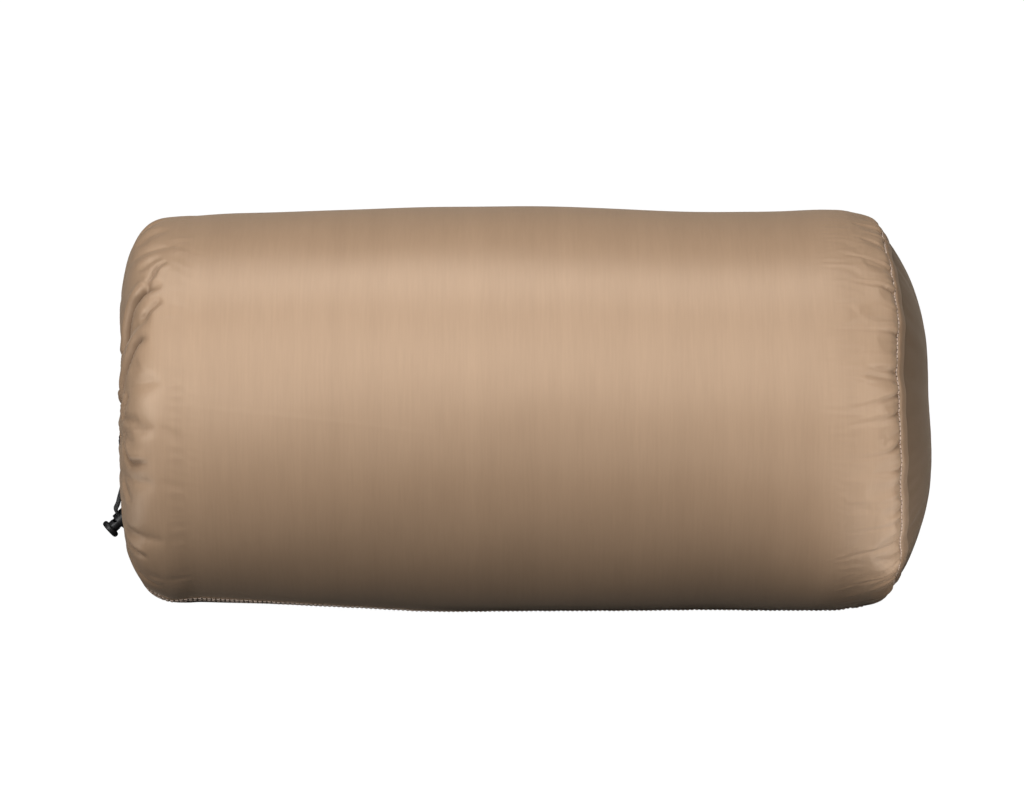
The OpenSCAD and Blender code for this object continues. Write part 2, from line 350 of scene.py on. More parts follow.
def base_folds():
    """Broad puckers that the base topstitching pulls into the tube: angle, depth, reach, width, slant."""
    folds = []
    dice = random.Random(5)
    angle = 3.0
    while angle < 360.0:
        folds.append((angle, dice.uniform(0.3, 0.9), dice.uniform(14, 40), dice.uniform(4.0, 6.5),
                      dice.uniform(-0.3, 0.1)))
        angle += dice.uniform(6.5, 11.5)
    return folds


def soft_noise(a, b, seed):
    """Sum of a few seeded waves over two coordinates, between about -1 and 1."""
    dice = random.Random(seed)
    total = np.zeros(np.broadcast(a, b).shape)
    for _ in range(7):
        total += np.sin(dice.uniform(0.5, 1.6) * a + round(dice.uniform(1, 5)) * b + dice.uniform(0, TAU))
    return total / 4.0


# ---------------------------------------------------------------- side panel

def panel_columns():
    """Angles round the fabric, closer together at the side seam, which is at 180 degrees."""
    half = 6.4
    fine = np.arange(-half, half + 0.01, 0.8) / 120.0
    gap = TAU - (fine[-1] - fine[0])
    coarse_count = int(round(gap * 120.0 / 2.2))
    coarse = fine[-1] + gap * np.arange(1, coarse_count) / coarse_count
    return np.concatenate([fine, coarse]) + math.pi


def twist(x):
    """Turn of the fabric round the sack's axis, which carries the side seam forward at the mouth."""
    at_mouth = math.radians(14.0) * (1 - smooth((x + 215.0) / 270.0))
    return math.radians(2.0) * smooth((x - 60) / 140.0) - at_mouth


def meridian(theta):
    """x and radius of the side panel's rows, from the mouth to the base, at an array of angles."""
    rows = [(mouth_face_x(r), r) for r in np.linspace(15.0, 100.0, 40)]
    # round the corner of the mouth end, evenly by angle
    corner_start = (1 - (100.0 / MOUTH_R) ** CORNER_POWER) ** (1 / CORNER_POWER)
    for a in np.linspace(0, 1, 16)[1:]:
        t = corner_start * (1 - a)
        share = (1 - t ** CORNER_POWER) ** (1 / CORNER_POWER)
        rows.append((FACE_X + MOUTH_TURN * (1 - t), MOUTH_R * share))
    tube_start = FACE_X + MOUTH_TURN
    for step in (*np.arange(2.4, 50, 2.4), *np.arange(50, 325, 5.0), *np.arange(325, 374, 2.2)):
        rows.append((tube_start + step, tube_radius(tube_start + step)))
    # the base shoulder, from the tube to the stitched ring
    xs, rs = stitch_ring(theta)
    begin = tube_start + 374.0
    r_begin = tube_radius(begin)
    full_turn = 1.45
    for a in np.linspace(0, 1, 36)[1:]:
        turn = full_turn * a ** 1.05
        across = np.sin(turn) / math.sin(full_turn)
        down = ((1 - np.cos(turn)) / (1 - math.cos(full_turn))) ** 1.35
        rows.append((begin + (xs - begin) * across, r_begin + (rs - r_begin) * down))
    # the band over the seam allowance, and its rolled edge
    xf, rf = fold_ring(theta)
    for a in (0.12, 0.3, 0.5, 0.7, 0.88, 1.0):
        rows.append((xs + (xf - xs) * a, rs + (rf - rs) * a))
    for out, down in ((0.3, 0.8), (-0.6, 1.8), (-2.4, 2.6)):
        rows.append((xf + out, rf - down))
    x = np.array([row[0] + 0 * theta for row in rows])
    r = np.array([row[1] + 0 * theta for row in rows])
    return x, r


def above_floor(z):
    """Rounds off what would be below the floor."""
    lift = z - 0.35
    return 0.35 + 0.5 * (lift + np.sqrt(lift * lift + 2.2))


def surface_point(x, r, theta):
    """Places a point of the sack from x, radius and angle, with the sag of the mouth face."""
    tube_share = smooth((r - 60.0) / 50.0) * smooth((205.0 - x) / 40.0)
    centre = AXIS_Z + (tube_centre(x) - AXIS_Z) * tube_share
    on_face = smooth((MOUTH_X + 30.0 - x) / 25.0)
    centre = centre - 7.0 * on_face * bell((r - 68.0) / 34.0)
    under = smooth((r - 60.0) / 40.0) * smooth((-np.cos(theta) - 0.45) / 0.5)
    over = smooth((r - 60.0) / 16.0) * smooth((np.cos(theta) - 0.45) / 0.4)
    lowest = smooth((-np.cos(theta) - 0.86) / 0.12) * smooth((r - 60.0) / 40.0)
    hollow = smooth(np.cos(theta) / 0.35) * smooth((88.0 - r) / 18.0) * smooth((r - 38.0) / 20.0)
    push = -0.8 * under + 2.5 * lowest + 2.6 * hollow - 3.0 * over
    x = x + push * smooth((MOUTH_X + 46.0 - x) / 34.0)
    belly = 7.0 * smooth((x - 110.0) / 80.0) * smooth((203.0 - x) / 34.0)
    belly = belly + 3.0 * smooth((-190.0 - x) / 20.0) * smooth((r - 96.0) / 16.0)
    r = r + (1.7 * bell((x - 182.0) / 26.0) - 1.1 * smooth((-165.0 - x) / 45.0)) * bell(wrapped(theta) / 0.9)
    r = r - 1.2 * bell((x - 203.0) / 13.0) * bell(wrapped(theta - math.pi) / 0.5)
    r = r + belly * (bell(wrapped(theta - 2.58) / 0.40) + bell(wrapped(theta + 2.58) / 0.40))
    y = -r * (1 + (WIDER - 1) * tube_share) * np.sin(theta)
    z = centre + r * np.cos(theta)
    return np.stack([x, y, above_floor(z)], axis=-1)


def panel_surface():
    """The side panel with its broad folds, before the cloth simulation."""
    phi = panel_columns()
    theta = phi[None, :] + twist(meridian(phi)[0])
    # the ring of stitches leans, so the rows are taken again at the twisted angle
    x, r = meridian(theta[-12])
    points = surface_point(x, r, theta)
    normal = grid_normals(points)
    tangent = unit(around_grid(points))
    step = np.linalg.norm(np.diff(points, axis=0), axis=2).mean(axis=1)
    length = np.append(0.0, np.cumsum(step))

    depth = np.zeros(x.shape)
    slide = np.zeros(x.shape)
    from_mouth = x - MOUTH_X
    for angle, deep, reach, width, lean in mouth_folds():
        fade = smooth((reach + MOUTH_TURN * 0.62 - from_mouth) / (reach * 0.8 + 8.0))
        fade = fade * smooth((r - 14.0) / 6.0)
        across = wrapped(theta - math.radians(angle)) * np.clip(r, 15, 112)
        share = across / (width * np.clip(r / 105.0, 0.16, 1.0))
        deeper = deep * (1 + 1.6 * smooth((100.0 - r) / 60.0))
        depth += deeper * fade * np.exp(-np.abs(share * 1.7) ** 1.25)
        slide += lean * 1.5 * fade * bell(share * 0.9) * np.sign(lean)
    # 52 gathers on the face, finer than the folds that reach the tube
    phase = np.sin(3 * theta + 0.7) * 0.35 + np.sin(5 * theta + 2.1) * 0.22
    wave = np.abs(np.sin(26 * theta + 3.2 * phase))
    gather = (1 - wave) ** 1.5 * 4.2 * smooth((92.0 - r) / 50.0) * smooth((r - 12.0) / 8.0)
    depth += np.where(from_mouth < 60, gather, 0)

    to_stitch = stitch_ring(theta)[0] - x
    for angle, deep, reach, width, slant in base_folds():
        across = wrapped(theta - math.radians(angle)) * 110.0 - slant * np.clip(to_stitch, 0, 60)
        fade = smooth((reach - to_stitch) / reach) * smooth((to_stitch + 1.0) / 4.0)
        share = across / width
        profile = bell(share) - 0.45 * bell((share - 1.5) / 0.8) - 0.25 * bell((share + 1.6) / 0.8)
        depth += deep * fade * profile

    # the stitched valley and the padded band beside it
    depth[:-LIP_ROWS] += 0.8 * bell(np.minimum(to_stitch, 12) / 3.0)[:-LIP_ROWS]
    band_wave = 0.3 * np.sin(46 * theta + 2 * np.sin(3 * theta)) + 0.25 * np.sin(71 * theta + 1.3)
    for row, puff in enumerate((0.1, 0.2, 0.25, 0.2, 0.1), start=-LIP_ROWS):
        depth[row] -= puff * (0.9 + band_wave[row])

    # soft unevenness of the stuffing
    body = smooth((x - MOUTH_X - 20) / 50.0) * smooth((STITCH_X - x) / 40.0)
    depth += 0.45 * soft_noise(x / 42.0, theta, 3) * body
    depth += 0.25 * soft_noise(x / 17.0, 2 * theta, 8) * body
    # a soft crease across the tube on the camera side
    front = wrapped(theta)
    crease_x = 88.0 - 12.0 * smooth((front - 0.9) / 1.2)
    depth += 0.15 * bell((x - crease_x) / 3.2) * smooth((front - 0.5) / 0.5) * smooth((2.3 - front) / 0.5)

    points = points - normal * depth[..., None] + tangent * slide[..., None]
    return phi, theta, x, r, length, points


# ---------------------------------------------------------------- cloth simulation

def start_cloth(name, grid, grow, pins, pressure, bending):
    """A cloth object that begins wider than the grid, by grow, and is drawn in to the grid's shape."""
    obj = make_mesh(name, grid.reshape(-1, 3), ring_faces(*grid.shape[:2]))
    group = obj.vertex_groups.new(name="pins")
    for index, weight in enumerate(pins.ravel()):
        if weight > 0.0005:
            group.add([index], float(weight), "REPLACE")
    larger = grid.copy()
    larger[..., 1] *= grow
    larger[..., 2] = AXIS_Z + (larger[..., 2] - AXIS_Z) * grow
    big = (larger.reshape(-1, 3) * MM).ravel()
    obj.shape_key_add(name="larger").data.foreach_set("co", big)
    obj.data.vertices.foreach_set("co", big)
    drawn_in = obj.shape_key_add(name="drawn_in")
    drawn_in.data.foreach_set("co", (grid.reshape(-1, 3) * MM).ravel())
    for frame_number, share in ((1, 0), (8, 1)):
        drawn_in.value = share
        drawn_in.keyframe_insert("value", frame=frame_number)
    cloth = obj.modifiers.new("cloth", "CLOTH")
    settings = cloth.settings
    for key, value in dict(
            quality=4, mass=0.001, air_damping=1, tension_stiffness=25, compression_stiffness=25,
            shear_stiffness=8, bending_stiffness=bending, tension_damping=1, compression_damping=1,
            shear_damping=1, bending_damping=0.5, vertex_group_mass="pins", pin_stiffness=0.2,
            use_pressure=True, uniform_pressure_force=pressure).items():
        setattr(settings, key, value)
    settings.effector_weights.gravity = 0
    cloth.point_cache.frame_start = 1
    cloth.point_cache.frame_end = SIM_FRAMES
    return obj


def finish_cloth(obj, grid, cap):
    """The simulated points in mm, none further than cap from where it started. Removes the object."""
    evaluated = obj.evaluated_get(bpy.context.evaluated_depsgraph_get())
    moved = np.zeros(len(obj.data.vertices) * 3)
    evaluated.data.vertices.foreach_get("co", moved)
    moved = moved.reshape(grid.shape) / MM
    bpy.data.objects.remove(obj)
    shift = moved - grid
    size = np.linalg.norm(shift, axis=-1, keepdims=True) + 1e-9
    return grid + shift * cap * np.tanh(size / cap) / size


def without_swelling(moved, grid):
    """Takes out what the cloth moved on average round each row, and leaves its wrinkles."""
    way = unit(grid[..., 1:] - np.array([0, AXIS_Z]))
    shift = moved - grid
    swelling = np.sum(shift[..., 1:] * way, axis=-1).mean(axis=1)[:, None, None]
    moved = moved.copy()
    moved[..., 1:] -= swelling * way
    moved[..., 0] -= shift[..., 0].mean(axis=1)[:, None]
    return moved


def evened(grid, amount):
    """Takes the finest ripple out of a grid of points that closes round its second axis."""
    near = grid.copy()
    near[1:-1] = (grid[:-2] + grid[2:] + np.roll(grid, 1, axis=1)[1:-1] + np.roll(grid, -1, axis=1)[1:-1]) / 4
    return grid + (near - grid) * amount


def simulate_side_panel(theta, x, r, points):
    """Draws in both ends of the side panel as cloth under pressure, so that their edges pucker."""
    from_mouth = x - MOUTH_X
    to_stitch = stitch_ring(theta)[0] - x
    first = int(np.argmax(to_stitch.mean(axis=1) < 66))
    last = int(np.argmax(from_mouth.mean(axis=1) > 74))

    base = points[first:]
    near = smooth((46.0 - to_stitch[first:]) / 34.0)
    grow = 1 + 0.011 * smooth((52.0 - to_stitch[first:]) / 40.0)
    pins = 0.5 * (1 - near)
    pins[-LIP_ROWS - 1:] = 1.0
    pins[:2] = 1.0
    base_cloth = start_cloth("base_cloth", base, grow, pins, 10.0, 0.5)

    mouth = points[:last]
    near = smooth((62.0 - from_mouth[:last]) / 34.0)
    grow = 1 + 0.016 * smooth((60.0 - from_mouth[:last]) / 45.0)
    pins = 0.5 * (1 - near) + 0.3 * smooth((104.0 - r[:last]) / 12.0) + 0.02
    pins[:3] = 1.0
    pins[-2:] = 1.0
    mouth_cloth = start_cloth("mouth_cloth", mouth, grow, pins, 8.0, 0.4)

    for step in range(1, SIM_FRAMES + 1):
        bpy.context.scene.frame_set(step)
    points = points.copy()
    points[first:] = without_swelling(finish_cloth(base_cloth, base, 2.5), base)
    drawn = without_swelling(finish_cloth(mouth_cloth, mouth, 4.0), mouth)
    drawn[..., 0] = mouth[..., 0] + np.maximum(drawn[..., 0] - mouth[..., 0], -0.8)
    points[:last] = drawn
    bpy.context.scene.frame_set(1)
    return points


# ---------------------------------------------------------------- fine surface of the side panel

def cubic_rows(field, at):
    """Rows of a field at fractional row numbers, by cubic interpolation."""
    last = field.shape[0] - 1
    i = np.minimum(np.floor(at).astype(int), last - 1)
    f = (at - i).reshape((-1,) + (1,) * (field.ndim - 1))
    before = field[np.clip(i - 1, 0, last)]
    here = field[i]
    after = field[i + 1]
    beyond = field[np.clip(i + 2, 0, last)]
    return here + 0.5 * f * (after - before + f * (2 * before - 5 * here + 4 * after - beyond
                                                   + f * (3 * (here - after) + beyond - before)))


def doubled_columns(field):
    """A field that closes round its second axis, with a new column between every two."""
    near = field + np.roll(field, -1, axis=1)
    between = (9 * near - np.roll(field, 1, axis=1) - np.roll(field, -2, axis=1)) / 16
    return np.stack([field, between], axis=2).reshape((field.shape[0], -1) + field.shape[2:])


def refined(phi, x, r, length, points):
    """The grid with twice the columns, and twice the rows near both ends."""
    rows = x.shape[0]
    near_mouth = int(np.argmax(x.mean(axis=1) > MOUTH_X + 92))
    near_base = int(np.argmax(x.mean(axis=1) > STITCH_X - 58))
    at = np.concatenate([np.arange(0, near_mouth, 0.5), np.arange(near_mouth, near_base, 1.0),
                         np.arange(near_base, rows - 0.9, 0.5)])
    next_phi = np.append(phi[1:], phi[0] + TAU)
    phi = np.stack([phi, (phi + next_phi) / 2], axis=1).ravel()
    x, r, points = [doubled_columns(cubic_rows(field, at)) for field in (x, r, points)]
    return phi, x, r, np.interp(at, np.arange(rows), length), points


def curve_through(points, count):
    """A smooth curve through a few points."""
    return cubic_rows(np.asarray(points, float), np.linspace(0, len(points) - 1, count))


def carve(points, normal, theta, distance, creases, from_seam):
    """Moves the points to form each crease along its path of (angle, distance), and gives its valley a
    painted shade.

    Creases that start at a seam are deepest there and narrow to nothing; the others fade at both ends.
    """
    moved = np.zeros(points.shape)
    shade = np.zeros(points.shape[:2])
    for path, deep, width, lip, side, slide in creases:
        control = []
        for angle, back in path:
            gap = (wrapped(theta - math.radians(angle)) * 112.0) ** 2 + (distance - back) ** 2
            control.append(points[np.unravel_index(np.argmin(gap), gap.shape)])
        line = curve_through(control, CREASE_STEPS)
        middle = line.mean(axis=0)
        reach = np.linalg.norm(line - middle, axis=1).max() + 4.5 * width
        near = np.linalg.norm(points - middle, axis=-1) < reach
        place = points[near]
        gap = np.linalg.norm(place[:, None] - line[None], axis=-1)
        k = np.argmin(gap, axis=1)
        tangent = unit(np.gradient(line, axis=0))
        offset = place - line[k]
        right = np.cross(tangent[k], normal[near])
        across = side * np.sum(offset * right, axis=1)
        past = np.sum(offset * tangent[k], axis=1)
        share = k / (CREASE_STEPS - 1.0)
        if from_seam:
            taper = (1 - share) ** 1.2
            across = across / (0.55 + 0.45 * (1 - share))
        else:
            taper = smooth(share / 0.3) * smooth((1.05 - share) / 0.3)
        taper = taper * bell(past / (1.5 * width))
        inward = deep * bell(across / width) - lip * bell((across - 1.9 * width) / (1.15 * width))
        lean = slide * bell((across - 0.9 * width) / (1.2 * width))
        moved[near] += -normal[near] * (taper * inward)[:, None] - right * (side * taper * lean)[:, None]
        # painted shade: the crease's valley darkens the fabric, standing in for the shade deep in the fold
        dark = taper * bell((across + 0.2 * width) / (1.2 * width)) * smooth(deep / 5.5)
        shade[near] = np.maximum(shade[near], dark)
    return points + moved, shade


def detailed(phi, x, r, length, points):
    """The panel's points with creases, felled side seam and stitch valley, and the painted shade of their
    creases and of the band beyond the base stitches.
    """
    theta = phi[None, :] + twist(x)
    normal = grid_normals(points)
    edge = np.interp(100.0, r[:160].mean(axis=1), length[:160])
    from_edge = np.broadcast_to((length - edge)[:, None], x.shape)
    from_stitch = np.broadcast_to((length[-1 - 2 * LIP_ROWS] - length)[:, None], x.shape)
    left = x.mean(axis=1) < 0
    creased = points.copy()
    shade = np.zeros(x.shape)
    for half, distance, creases, from_seam in ((left, from_edge, mouth_creases(), False),
                                               (~left, from_stitch, base_creases(), True)):
        creased[half], shade[half] = carve(points[half], normal[half], theta[half], distance[half],
                                           creases, from_seam)

    # the felled side seam: a double layer held by two rows of stitches
    seam = (phi - math.pi)[None, :] * 120.0 + 0 * x
    along_seam = smooth((x - MOUTH_X - 6) / 10.0) * smooth((STITCH_X - 2 - x) / 4.0)
    layer = 0.6 * (smooth((seam + 4.1) / 0.9) - smooth((seam - 3.2) / 0.9))
    pull = 0.4 * (bell((seam - SEAM_ROW) / 0.7) + bell((seam + SEAM_ROW) / 0.7))
    waves = 1 + 0.5 * np.sin(x * 1.15 + 1.5 * np.sin(x * 0.21)) + 0.4 * np.sin(x * 0.47 + 1)
    pucker = 0.16 * waves * bell(seam / 5.5)
    creased += normal * (along_seam * (layer - pull + pucker))[..., None]
    # the valley pulled in by the base topstitching
    creased -= normal * (0.7 * bell(from_stitch / 1.5))[..., None]
    creased[..., 2] = np.maximum(creased[..., 2], 0.3)
    # painted shade over the band beyond the base topstitching, where the fabric turns away from the light
    return creased, np.maximum(shade, 0.42 * smooth((0.6 - from_stitch) / 2.4))


phi, theta, x, r, length, points = panel_surface()
points = simulate_side_panel(theta, x, r, points)
phi, x, r, length, points = refined(phi, x, r, length, evened(points, 0.5))
points, painted_fold_shade = detailed(phi, x, r, length, points)
side_panel = make_mesh("side_panel_fabric", points.reshape(-1, 3), ring_faces(*points.shape[:2]),
                       flat_uv(length[:, None] / 1000.0, phi[None, :] * 121.0 / 1000.0))
# the painted shade of the creases and of the band goes into the fabric's colour
store_painted_shade(side_panel, painted_fold_shade.ravel())


# ---------------------------------------------------------------- end panel

def end_panel_mesh():
    """The round base: a grid of squares pressed into a disc, domed and sagging."""
    n = 90
    u, v = np.meshgrid(np.linspace(-1, 1, n), np.linspace(-1, 1, n), indexing="ij")
    disc_u = u * np.sqrt(1 - v * v / 2)
    disc_v = v * np.sqrt(1 - u * u / 2)
    rho = np.sqrt(disc_u ** 2 + disc_v ** 2)
    theta = np.arctan2(-disc_u, disc_v)
    xf, rf = fold_ring(theta)
    r = rho * (rf - 0.4)
    rise = 1 - 0.5 * rho ** 2.4 - 0.5 * rho ** 4
    x = xf - 0.6 + (CROWN_X - 0.6 - xf) * rise
    y = -r * np.sin(theta)
    z = above_floor(AXIS_Z + r * np.cos(theta))
    x = x + (1.3 * bell((z - 80.0) / 45.0) - 1.7 * bell((z - 132.0) / 30.0)) * rise
    pucker = 0.5 * np.sin(40 * theta + 3 * np.sin(2 * theta)) + 0.35 * np.sin(63 * theta + 1)
    x = x + 0.5 * pucker * smooth((rho - 0.8) / 0.15) * smooth((1 - rho) / 0.03)
    x = x + 0.5 * soft_noise(y / 30.0, z / 60.0, 4) * rise
    points = np.stack([x, y, z], axis=-1).reshape(-1, 3)
    faces = [(i + j, i + n + j, i + n + j + 1, i + j + 1)
             for i in range(0, n * n - n, n) for j in range(n - 1)]
    return make_mesh("end_panel_fabric", points, faces, points[:, 1:] / 1000.0)


end_panel = end_panel_mesh()


# ---------------------------------------------------------------- materials

class Nodes:
    """A material with short ways to add shader nodes, and to give their inputs values or links by name."""

    def __init__(self, name, **inputs):
        self.material = bpy.data.materials.new(name)
        self.material.use_nodes = True
        self.tree = self.material.node_tree
        self.shader = self.tree.nodes["Principled BSDF"]
        self.fill(self.shader, **inputs)

    def put(self, slot, value):
        if isinstance(value, bpy.types.NodeSocket):
            self.tree.links.new(value, slot)
        else:
            slot.default_value = value

    def fill(self, node, **inputs):
        for key, value in inputs.items():
            self.put(node.inputs[key.replace("_", " ")], value)

    def add(self, kind, settings=(), **inputs):
        node = self.tree.nodes.new(kind)
        for key, value in dict(settings).items():
            setattr(node, key, value)
        self.fill(node, **inputs)
        return node

    def math(self, operation, first, second=0.0):
        node = self.add("ShaderNodeMath", {"operation": operation})
        self.put(node.inputs[0], first)
        self.put(node.inputs[1], second)
        return node.outputs[0]

    def times(self, first, second):
        return self.math("MULTIPLY", first, second)

    def plus(self, first, second):
        return self.math("ADD", first, second)

    def wave(self, value):
        return self.math("SINE", value)

    def half_up(self, wave):
        """A wave between -1 and 1 brought to 0 to 1."""
        return self.plus(self.times(wave, 0.5), 0.5)

    def cloth_place(self):
        """How far along and around a point lies, from the mesh's own UVs."""
        place = self.add("ShaderNodeUVMap", {"uv_map": "cloth"}).outputs[0]
        split = self.add("ShaderNodeSeparateXYZ", Vector=place)
        return split.outputs[0], split.outputs[1]

    def noise(self, scale, detail, x=None, y=None):
        """Noise over the place (x, y), or over the object where none is given."""
        if x is None:
            place = self.add("ShaderNodeTexCoord").outputs["Object"]
        else:
            place = self.add("ShaderNodeCombineXYZ", X=x, Y=y).outputs[0]
        return self.add("ShaderNodeTexNoise", Vector=place, Scale=scale, Detail=detail).outputs[0]

    def mix(self, share, first, second):
        node = self.add("ShaderNodeMix", {"data_type": "RGBA"}, Factor=share, A=first, B=second)
        return node.outputs["Result"]

    def spread(self, value, low, high):
        return self.add("ShaderNodeMapRange", Value=value, To_Min=low, To_Max=high).outputs["Result"]

    def bump(self, height, strength, distance):
        relief = self.add("ShaderNodeBump", Height=height, Strength=strength, Distance=distance)
        self.fill(self.shader, Normal=relief.outputs[0])

    def colour(self, value):
        self.fill(self.shader, Base_Color=value)


def satin_fabric(name, dark, light, shine):
    """Satin polyester, which reflects more widely along its yarns than across them."""
    n = Nodes(name, Roughness=0.40, Anisotropic=0.7, Sheen_Weight=0.25, Sheen_Roughness=0.4,
              Specular_Tint=(1.0, 0.84, 0.68, 1), Sheen_Tint=(0.9, 0.75, 0.6, 1))
    along, around = n.cloth_place()
    # thicker weft yarns make wide streaks round the sack, and each yarn a fine one
    streak = n.noise(1.0, 4.0, n.times(along, 90.0), n.times(around, 0.8))
    fine = n.noise(1.0, 2.0, n.times(along, 700.0), n.times(around, 40.0))
    # the weave itself, with warp and weft yarns about a third of a millimetre apart
    weave = n.times(n.wave(n.times(around, TAU / 0.00030)), n.wave(n.times(along, TAU / 0.00034)))

    tone = n.plus(n.times(streak, 0.55), n.times(fine, 0.45))
    # painted shade: where the fold attribute is high the colour darkens towards deep brown and the shine
    # fades, as in the shade of a deep crease
    fold = n.add("ShaderNodeAttribute", {"attribute_name": "fold"}).outputs["Fac"]
    n.colour(n.mix(n.times(fold, 0.9), n.mix(tone, dark, light), (0.06, 0.032, 0.018, 1)))
    tangent = n.add("ShaderNodeTangent", {"direction_type": "UV_MAP", "uv_map": "cloth"}).outputs[0]
    n.fill(n.shader, Specular_IOR_Level=n.math("SUBTRACT", shine, n.times(fold, shine)), Tangent=tangent)
    n.bump(n.plus(n.plus(n.times(weave, 0.35), n.times(streak, 0.5)), n.times(fine, 0.35)), 0.12, 0.0003)
    return n.material


def thread_finish():
    n = Nodes("polyester_thread", Roughness=0.55, Sheen_Weight=0.3)
    along, around = n.cloth_place()
    ply = n.wave(n.plus(n.times(along, TAU / 0.0009), n.times(around, TAU * 2)))
    n.bump(ply, 0.5, 0.0001)
    n.colour(n.mix(n.half_up(ply), (0.62, 0.47, 0.37, 1), (0.82, 0.66, 0.55, 1)))
    return n.material


def cord_finish():
    """Black braided cord: four yarns each way, crossing on the diagonal."""
    n = Nodes("braided_cord", Roughness=0.6, Sheen_Weight=0.2)
    along, around = n.cloth_place()
    along = n.times(along, TAU / 0.0052)
    around = n.times(around, TAU)
    one_way = n.wave(n.times(n.plus(along, around), 4.0))
    other_way = n.wave(n.times(n.math("SUBTRACT", along, around), 4.0))
    braid = n.times(one_way, other_way)
    n.bump(braid, 0.9, 0.0003)
    n.colour(n.mix(n.half_up(braid), (0.006, 0.006, 0.007, 1), (0.030, 0.030, 0.032, 1)))
    return n.material


def plastic_finish():
    """Moulded black plastic with a fine spark-eroded grain and a few handling marks."""
    n = Nodes("moulded_black_plastic")
    n.bump(n.noise(2600, 3), 0.25, 0.0001)
    wear = n.noise(240, 5)
    n.fill(n.shader, Roughness=n.spread(wear, 0.28, 0.5))
    n.colour(n.mix(wear, (0.008, 0.008, 0.009, 1), (0.020, 0.020, 0.021, 1)))
    return n.material


def steel_finish():
    n = Nodes("spring_steel", Base_Color=(0.55, 0.55, 0.56, 1), Metallic=1.0)
    n.fill(n.shader, Roughness=n.spread(n.noise(900, 2), 0.22, 0.42))
    return n.material


def cotton_finish(name, light, dark, scale):
    n = Nodes(name, Roughness=0.9, Sheen_Weight=0.4)
    fibre = n.noise(scale, 6)
    n.colour(n.mix(fibre, dark, light))
    n.bump(fibre, 0.4, 0.0008)
    return n.material


def grey(level):
    return (level, level, level, 1)


fabric = satin_fabric("satin_polyester", (0.305, 0.199, 0.125, 1), (0.420, 0.280, 0.180, 1), 0.8)
# the end panel's satin: partly painted shade, darker all over because that end faces away from the lights,
# and partly the duller shine of satin cut crosswise
crosswise_shaded_fabric = satin_fabric("satin_polyester_crosswise_painted_shade", (0.128, 0.084, 0.053, 1),
                            (0.156, 0.104, 0.066, 1), 0.18)
thread_material = thread_finish()
# painted shade: near-black discs that stand for the shadow in each needle hole
needle_hole_shade_material = Nodes("needle_hole_painted_shade", Base_Color=(0.035, 0.020, 0.013, 1), Roughness=1.0,
                      Specular_IOR_Level=0.0).material
cord_material = cord_finish()
plastic = plastic_finish()
steel = steel_finish()
cover_cloth = cotton_finish("brushed_cotton", (0.78, 0.76, 0.72, 1), (0.66, 0.64, 0.60, 1), 1400)
fibre_fill = cotton_finish("hollow_fibre", grey(0.85), grey(0.62), 500)


# ---------------------------------------------------------------- round bars, threads and cords

def travelled(path):
    """The way covered at each point of a path."""
    return np.append(0.0, np.cumsum(np.linalg.norm(np.diff(path, axis=0), axis=1)))


def tube_along(path, radius, sides, closed=False):
    """A round tube along a path of points in mm, with UVs: along in metres, round from 0 to 1."""
    path = np.asarray(path, float)
    count = len(path)
    if closed:
        tangent = unit(np.roll(path, -1, axis=0) - np.roll(path, 1, axis=0))
    else:
        tangent = unit(np.gradient(path, axis=0))
    side = np.zeros((count, 3))
    side[0] = unit(np.cross(tangent[0], [0.1, 0.2, 0.97]))
    for i in range(1, count):
        side[i] = unit(side[i - 1] - tangent[i] * np.dot(side[i - 1], tangent[i]))
    other = np.cross(tangent, side)
    share = np.arange(sides) / sides
    angle = (share * TAU)[None, :, None]
    ring = np.cos(angle) * side[:, None, :] + np.sin(angle) * other[:, None, :]
    radii = np.broadcast_to(np.asarray(radius, float), (count,))
    points = (path[:, None, :] + ring * radii[:, None, None]).reshape(-1, 3)
    faces = ring_faces(count, sides)
    last = (count - 1) * sides
    if closed:
        faces += [(last + j, last + (j + 1) % sides, (j + 1) % sides, j) for j in range(sides)]
    else:
        faces += [tuple(range(sides))[::-1], tuple(range(last, last + sides))]
    return points, faces, flat_uv(travelled(path)[:, None] / 1000, share[None, :])


def joined(parts, name):
    """One mesh object from several (points, faces, uv) parts."""
    faces = []
    offset = 0
    for part in parts:
        faces += [tuple(i + offset for i in face) for face in part[1]]
        offset += len(part[0])
    return make_mesh(name, np.concatenate([part[0] for part in parts]), faces,
                     np.concatenate([part[2] for part in parts]))


def resampled(path, normals, pitch):
    """The path cut into equal steps near pitch; returns points and normals at the steps."""
    travel = travelled(path)
    at = np.linspace(0, travel[-1], max(2, int(round(travel[-1] / pitch))) + 1)
    place, normal = [np.stack([np.interp(at, travel, field[:, k]) for k in range(3)], axis=1)
                     for field in (path, normals)]
    return place, unit(normal)


